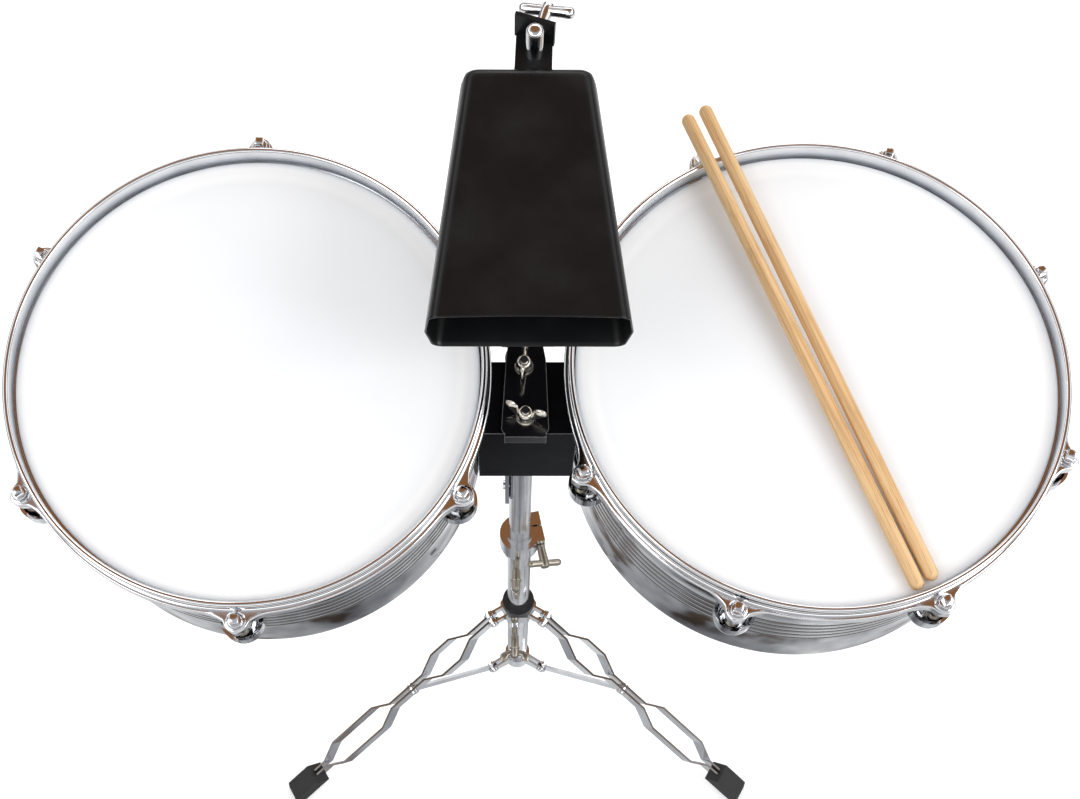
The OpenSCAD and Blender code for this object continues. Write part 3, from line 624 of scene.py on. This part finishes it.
def wing_shape(s, barrel_r, barrel_h, span, matrix, lobe_z):
    """Barrel on a round foot with two ears; lobe_z is the height of the ears' round ends."""
    s.lathe([(barrel_r + 1.5, 0.0), (barrel_r + 1.6, 0.7), (barrel_r + 1.2, 1.5), (barrel_r + 0.2, 2.3),
             (barrel_r * 0.95, barrel_h - 2.5), (barrel_r * 0.86, barrel_h - 0.8),
             (barrel_r * 0.66, barrel_h), (barrel_r * 0.58, barrel_h - 0.1),
             (barrel_r * 0.54, barrel_h - 0.8), (0.0, barrel_h - 0.9)], matrix, 40)
    tip = span / 2
    start = barrel_h * 0.38
    rise = lobe_z - start
    across = matrix.to_3x3() @ Vector((0, 1, 0))
    for side in (-1, 1):
        path = [matrix @ Vector((side * x, 0, z)) for x, z in (
            (barrel_r * 0.35, start), (barrel_r * 0.95, start + 1.5),
            (tip * 0.58, start + rise * 0.45), (tip * 0.68, start + rise * 0.78),
            (tip * 0.76, lobe_z), (tip * 0.86, lobe_z + 3.4), (tip * 0.95, lobe_z + 5.6))]
        s.blade(path, (3.2, 3.3, 3.6, 4.8, 5.2, 4.2, 0.9), (2.6, 2.5, 2.2, 2.2, 2.3, 1.9, 0.5), across)


def thread_profile(radius, length):
    points = [(0.0, 0.0), (radius - 0.7, 0.0)]
    z = 0.0
    while z + THREAD_PITCH < length:
        points += [(radius - 0.45, z + 0.1 * THREAD_PITCH), (radius, z + 0.5 * THREAD_PITCH),
                   (radius - 0.45, z + 0.9 * THREAD_PITCH)]
        z += THREAD_PITCH
    return points + [(radius - 0.2, length)]


def make_wing_nut(name, place, angle, node, body):
    """Nut on the arm, with the end of its bolt standing in it."""
    s = Solid()
    m = shift(*place, ARM_TOP) @ turn(angle, "Z")
    s.lathe([(2.9, 10.0), (2.9, 15.6), (2.4, 16.3), (0.0, 16.4)], m, 28)
    wing_shape(s, 5.7, 13.0, 30.0, m, 19.0)
    add_piece(name, s.verts, s.faces, "warm_chrome", body, (node,), HEAD, 50.0)


make_wing_nut("front_wing_nut", (1.0, -84.5), -18.0, "wing_nut_front", "front_nut")
make_wing_nut("rear_wing_nut", (0.0, -45.0), 84.0, "wing_nut_rear", "rear_nut")


def make_wing_bolt(name, place, angle, thread, barrel, node, body):
    """Bolt that points forward: a thread, a barrel, and the wings at its end."""
    s = Solid()
    m = shift(*place) @ turn(90.0, "X") @ turn(angle, "Z")
    end = thread + barrel
    s.lathe(thread_profile(BOLT_R, thread), m, 32)
    s.lathe([(3.0, thread), (4.6, thread + 0.4), (4.75, thread + 1.5), (4.75, end - 3), (4.2, end - 1.2),
             (2.5, end), (0.0, end + 0.1)], m, 40)
    wing_shape(s, 4.4, 12.0, 33.0, m @ shift(0, 0, end - 13), 11.0)
    add_piece(name, s.verts, s.faces, "dull_nickel", body, (node,), STAND, 50.0)


make_wing_bolt("height_wing_bolt", (-3.5, -11.8, 515.0), 90.0, 15.2, 24.0, "lock_wing_bolt", "lock_bolt")
make_wing_bolt("collar_wing_bolt_turned", (-4.0, -13.3, 262.0), 0.0, 14.0, 28.0,
               "collar_wing_bolt", "collar_bolt")


def bar_profile(length, r, waist):
    half = length / 2
    side = [(0.0, half), (r * 0.6, half - 0.6), (r * 0.92, half - 2.0), (r, half - 4.0),
            (r * 0.97, half * 0.6), (waist, half * 0.25)]
    return side + [(p, -h) for p, h in reversed(side)]


def make_t_bolt(name, base, node, body, matrix, look, shaft, neck, bar_at, bar_length, bar_r, bar_turn):
    """Thread, a boss that runs past the bar, and the bar across it."""
    s = Solid()
    boss = shaft + 1.2
    s.lathe(thread_profile(shaft, neck), base, 32)
    s.lathe([(shaft, neck), (boss, neck + 1.0), (boss - 0.5, neck + 3.5), (boss, bar_at - 3.0),
             (boss, bar_at + 3.9), (boss - 0.5, bar_at + 4.7), (boss - 1.4, bar_at + 5.0),
             (0.0, bar_at + 5.1)], base, 32)
    s.lathe(bar_profile(bar_length, bar_r, bar_r * 0.94),
            base @ shift(0, 0, bar_at) @ turn(bar_turn, "Z") @ turn(90.0, "Y"), 36)
    add_piece(name, s.verts, s.faces, look, body, (node,), matrix, 50.0)


bell_bolt = shift(*POST_AT, 256.0) @ turn(-18.0, "Z") @ turn(-90.0, "X") @ shift(0, 0, 6.5)
make_t_bolt("cowbell_t_bolt_turned", bell_bolt, "cowbell_t_bolt", "bell_bolt", HEAD, "stand_chrome",
            3.4, 8.0, 21.0, 42.0, 4.2, -18.0)
clamp_bolt = turn(CLAMP_TURN, "Z") @ shift(20.0, 19.5, 541.0) @ turn(90.0, "X")
make_t_bolt("clamp_t_bolt_turned", clamp_bolt, "clamp_t_bolt", "clamp_bolt", STAND, "dull_nickel",
            3.65, 32.0, 52.1, 38.5, 3.75, -22.0)


# ---- cowbell post, with a domed top ----

post_profile = [(0.0, POST_FOOT), (5.2, POST_FOOT), (POST_R, POST_FOOT + 0.8), (POST_R, POST_TOP - 3.6),
                (5.8, POST_TOP - 2.6), (5.2, POST_TOP - 1.6), (4.2, POST_TOP - 0.8), (2.8, POST_TOP - 0.3),
                (1.4, POST_TOP - 0.05), (0.0, POST_TOP)]
turned("post_turned", post_profile, "stand_chrome", "post", ("post",), HEAD @ shift(*POST_AT, 0.0), 48)


# ---- sticks ----

STICK_R, STICK_LENGTH = 5.35, 400.0


def make_stick(name, node, body, p, q):
    """Straight stick with round ends, from p towards q on the larger drum."""
    p, q = Vector(p), Vector(q)
    lay = (q - p).to_track_quat("Z", "X").to_matrix().to_4x4()
    place = drum_matrix("large") @ Matrix.Translation(p) @ lay @ Matrix.Scale(1 / MM, 4)
    r = STICK_R
    angles = [math.radians(d) for d in (12, 25, 40, 55, 70, 82)]
    dome = [(r * math.sin(a), r - r * math.cos(a)) for a in angles]
    profile = [(0.0, 0.0)] + dome + [(r, z) for z in (6.5, 60.0, 130.0, 200.0, 270.0, 340.0, 393.5)]
    profile += [(pr, STICK_LENGTH - h) for pr, h in reversed(dome)] + [(0.0, STICK_LENGTH)]
    s = Solid()
    s.lathe(profile, Matrix.Identity(4), 48)
    add_piece(name, s.verts, s.faces, "stick_wood", body, (node,), Matrix.Scale(MM, 4), 60.0, place)


make_stick("stick_a_turned", "stick_1", "stick_a", (-91.7, 203.0, 7.4), (60.5, -165.5, -8.35))
make_stick("stick_b_turned", "stick_2", "stick_b", (-78.0, 211.0, 7.5), (72.0, -161.0, -8.35))


# ---- camera, floor and light ----

CAMERA_AT = STAND @ Vector((-11.0, -577.8, 2218.3))
PITCH = math.radians(65.65)
YAW = math.radians(1.73)
ROLL = math.radians(1.65)
LENS, SENSOR = 55.6, 36.0
LENS_SHIFT = (0.0092, -0.0158)
FLOOR_HALF = 8.0
# centre of the painted shadow on the floor that glossy rays see
MIRRORED_SHADE_CENTRE = (0.0, -0.45, 0.0)
LIGHT_TARGET = Vector((0.0, 0.0, 0.9))
STRIP_POWER = 1.6


def add_camera():
    forward = Vector((math.sin(YAW) * math.cos(PITCH), math.cos(YAW) * math.cos(PITCH), -math.sin(PITCH)))
    right = Vector((math.cos(YAW), -math.sin(YAW), 0.0))
    up = right.cross(forward)
    # rolled by ROLL about the line of sight
    side = math.cos(ROLL) * right + math.sin(ROLL) * up
    top = -math.sin(ROLL) * right + math.cos(ROLL) * up
    data = bpy.data.cameras.new("camera")
    data.lens = LENS
    data.sensor_width = SENSOR
    data.shift_x, data.shift_y = LENS_SHIFT
    data.clip_end = 50.0
    camera = bpy.data.objects.new("camera", data)
    bpy.context.scene.collection.objects.link(camera)
    pose = Matrix((side, top, -forward)).transposed().to_4x4()
    pose.translation = CAMERA_AT
    camera.matrix_world = pose
    bpy.context.scene.camera = camera


def floor_paint():
    """Pale to the eye; glossy rays see a glowing painted reflection instead: a dimmer floor with a painted
    shadow in front of the object and soft darker and brighter patches.
    """
    p = Paint("floor_paint", (0.93, 0.93, 0.93), 0.0, 0.6)
    p.bsdf.inputs["Specular IOR Level"].default_value = 0.1
    p.bsdf.inputs["Emission Color"].default_value = (1.0, 1.0, 1.0, 1.0)
    p.bsdf.inputs["Emission Strength"].default_value = 0.22
    away = p.vector_math("DISTANCE", p.coords, MIRRORED_SHADE_CENTRE).outputs["Value"]
    # painted shadow: the mirrored floor darkens towards a point just in front of the object
    mirrored_shade = p.ramp(away, [
        (0.0, (0.14, 0.14, 0.15)), (0.16, (0.26, 0.27, 0.285)), (0.34, (0.44, 0.45, 0.46)),
        (0.60, (0.66, 0.67, 0.68)), (1.0, (0.90, 0.90, 0.90))])
    # painted reflection: dim warm and bright patches on the mirrored floor
    patches = p.ramp(p.noise(3.4, 3.0, (1.0, 0.7, 1.0), 0.6), [
        (0.38, (0.22, 0.16, 0.12)), (0.46, (0.80, 0.80, 0.83)),
        (0.58, (1.20, 1.20, 1.20)), (0.70, (1.9, 1.9, 1.9))])
    # the patches fade out away from the object, so that level views mirror a plain floor
    fade = p.ramp(away, [(0.60, WHITE), (0.98, BLACK)])
    # the floor glows with this painted reflection for glossy rays only
    painted_reflection = p.node("ShaderNodeEmission")
    p.link(p.mix(fade, mirrored_shade, p.mix(1.0, mirrored_shade, patches, "MULTIPLY")), painted_reflection.inputs["Color"])
    ray = p.node("ShaderNodeLightPath")
    swap = p.node("ShaderNodeMixShader")
    p.link(ray.outputs["Is Glossy Ray"], swap.inputs[0])
    p.link(p.bsdf.outputs[0], swap.inputs[1])
    p.link(painted_reflection.outputs[0], swap.inputs[2])
    p.link(swap.outputs[0], p.tree.nodes["Material Output"].inputs["Surface"])
    return p.mat


def add_floor():
    half = FLOOR_HALF
    data = bpy.data.meshes.new("floor")
    corners = [(-half, -half, 0), (half, -half, 0), (half, half, 0), (-half, half, 0)]
    data.from_pydata(corners, [], [(0, 1, 2, 3)])
    data.materials.append(floor_paint())
    floor = bpy.data.objects.new("floor", data)
    bpy.context.scene.collection.objects.link(floor)


def area_light(name, place, size, power):
    """Soft light that looks at the middle of the object."""
    data = bpy.data.lights.new(name, "AREA")
    data.shape = "RECTANGLE"
    data.size, data.size_y = size
    data.energy = power
    lamp = bpy.data.objects.new(name, data)
    bpy.context.scene.collection.objects.link(lamp)
    lamp.location = place
    lamp.rotation_euler = (LIGHT_TARGET - Vector(place)).to_track_quat("-Z", "Y").to_euler()


def studio_world():
    """Pale to the camera; what chrome mirrors is a white ceiling over a dim warm room."""
    world = bpy.data.worlds.new("studio")
    world.use_nodes = True
    world.node_tree.nodes.clear()
    w = Nodes(world.node_tree)
    coords = w.node("ShaderNodeTexCoord").outputs["Generated"]
    split = w.node("ShaderNodeSeparateXYZ")
    w.link(coords, split.inputs[0])
    height = w.ramp(split.outputs["Z"], [
        (0.0, (0.36, 0.33, 0.31)), (0.08, (0.17, 0.115, 0.075)), (0.20, (0.04, 0.028, 0.022)),
        (0.30, (0.20, 0.20, 0.22)), (0.42, WHITE), (0.62, (1.3, 1.3, 1.3)), (0.78, (0.5, 0.5, 0.52))])
    # a dim patch of warm room, high behind the drums
    toward = w.vector_math("DOT_PRODUCT", coords, Vector((0.02, 0.45, 0.89)).normalized())
    patch = w.mask(toward.outputs["Value"], 0.78, 0.90)
    room = w.mix(patch, height, (0.26, 0.115, 0.045))
    ray = w.node("ShaderNodeLightPath")
    soft = w.mix(ray.outputs["Is Glossy Ray"], (0.80, 0.80, 0.81), room)
    colour = w.mix(ray.outputs["Is Camera Ray"], soft, WHITE)
    # bright strip lights low round the room, seen only in reflections
    strip = w.ramp(split.outputs["Z"], [(0.33, BLACK), (0.37, WHITE), (0.45, WHITE), (0.50, BLACK)])
    lit = w.node("ShaderNodeMath", operation="MULTIPLY")
    w.link(strip, lit.inputs[0])
    w.link(ray.outputs["Is Glossy Ray"], lit.inputs[1])
    power = w.node("ShaderNodeMath", operation="MULTIPLY_ADD")
    w.link(lit.outputs[0], power.inputs[0])
    power.inputs[1].default_value = STRIP_POWER
    power.inputs[2].default_value = 1.0
    back = w.node("ShaderNodeBackground")
    w.link(colour, back.inputs["Color"])
    w.link(power.outputs[0], back.inputs["Strength"])
    w.link(back.outputs[0], w.node("ShaderNodeOutputWorld").inputs[0])
    return world


add_camera()
add_floor()
area_light("key", (-2.2, -1.2, 3.4), (2.0, 2.0), 34.0)
area_light("fill", (2.4, -1.0, 3.0), (2.0, 2.0), 46.0)
area_light("back", (0.4, 2.8, 2.8), (2.4, 1.2), 18.0)
bpy.context.scene.world = studio_world()
bpy.context.scene.view_settings.view_transform = "Standard"
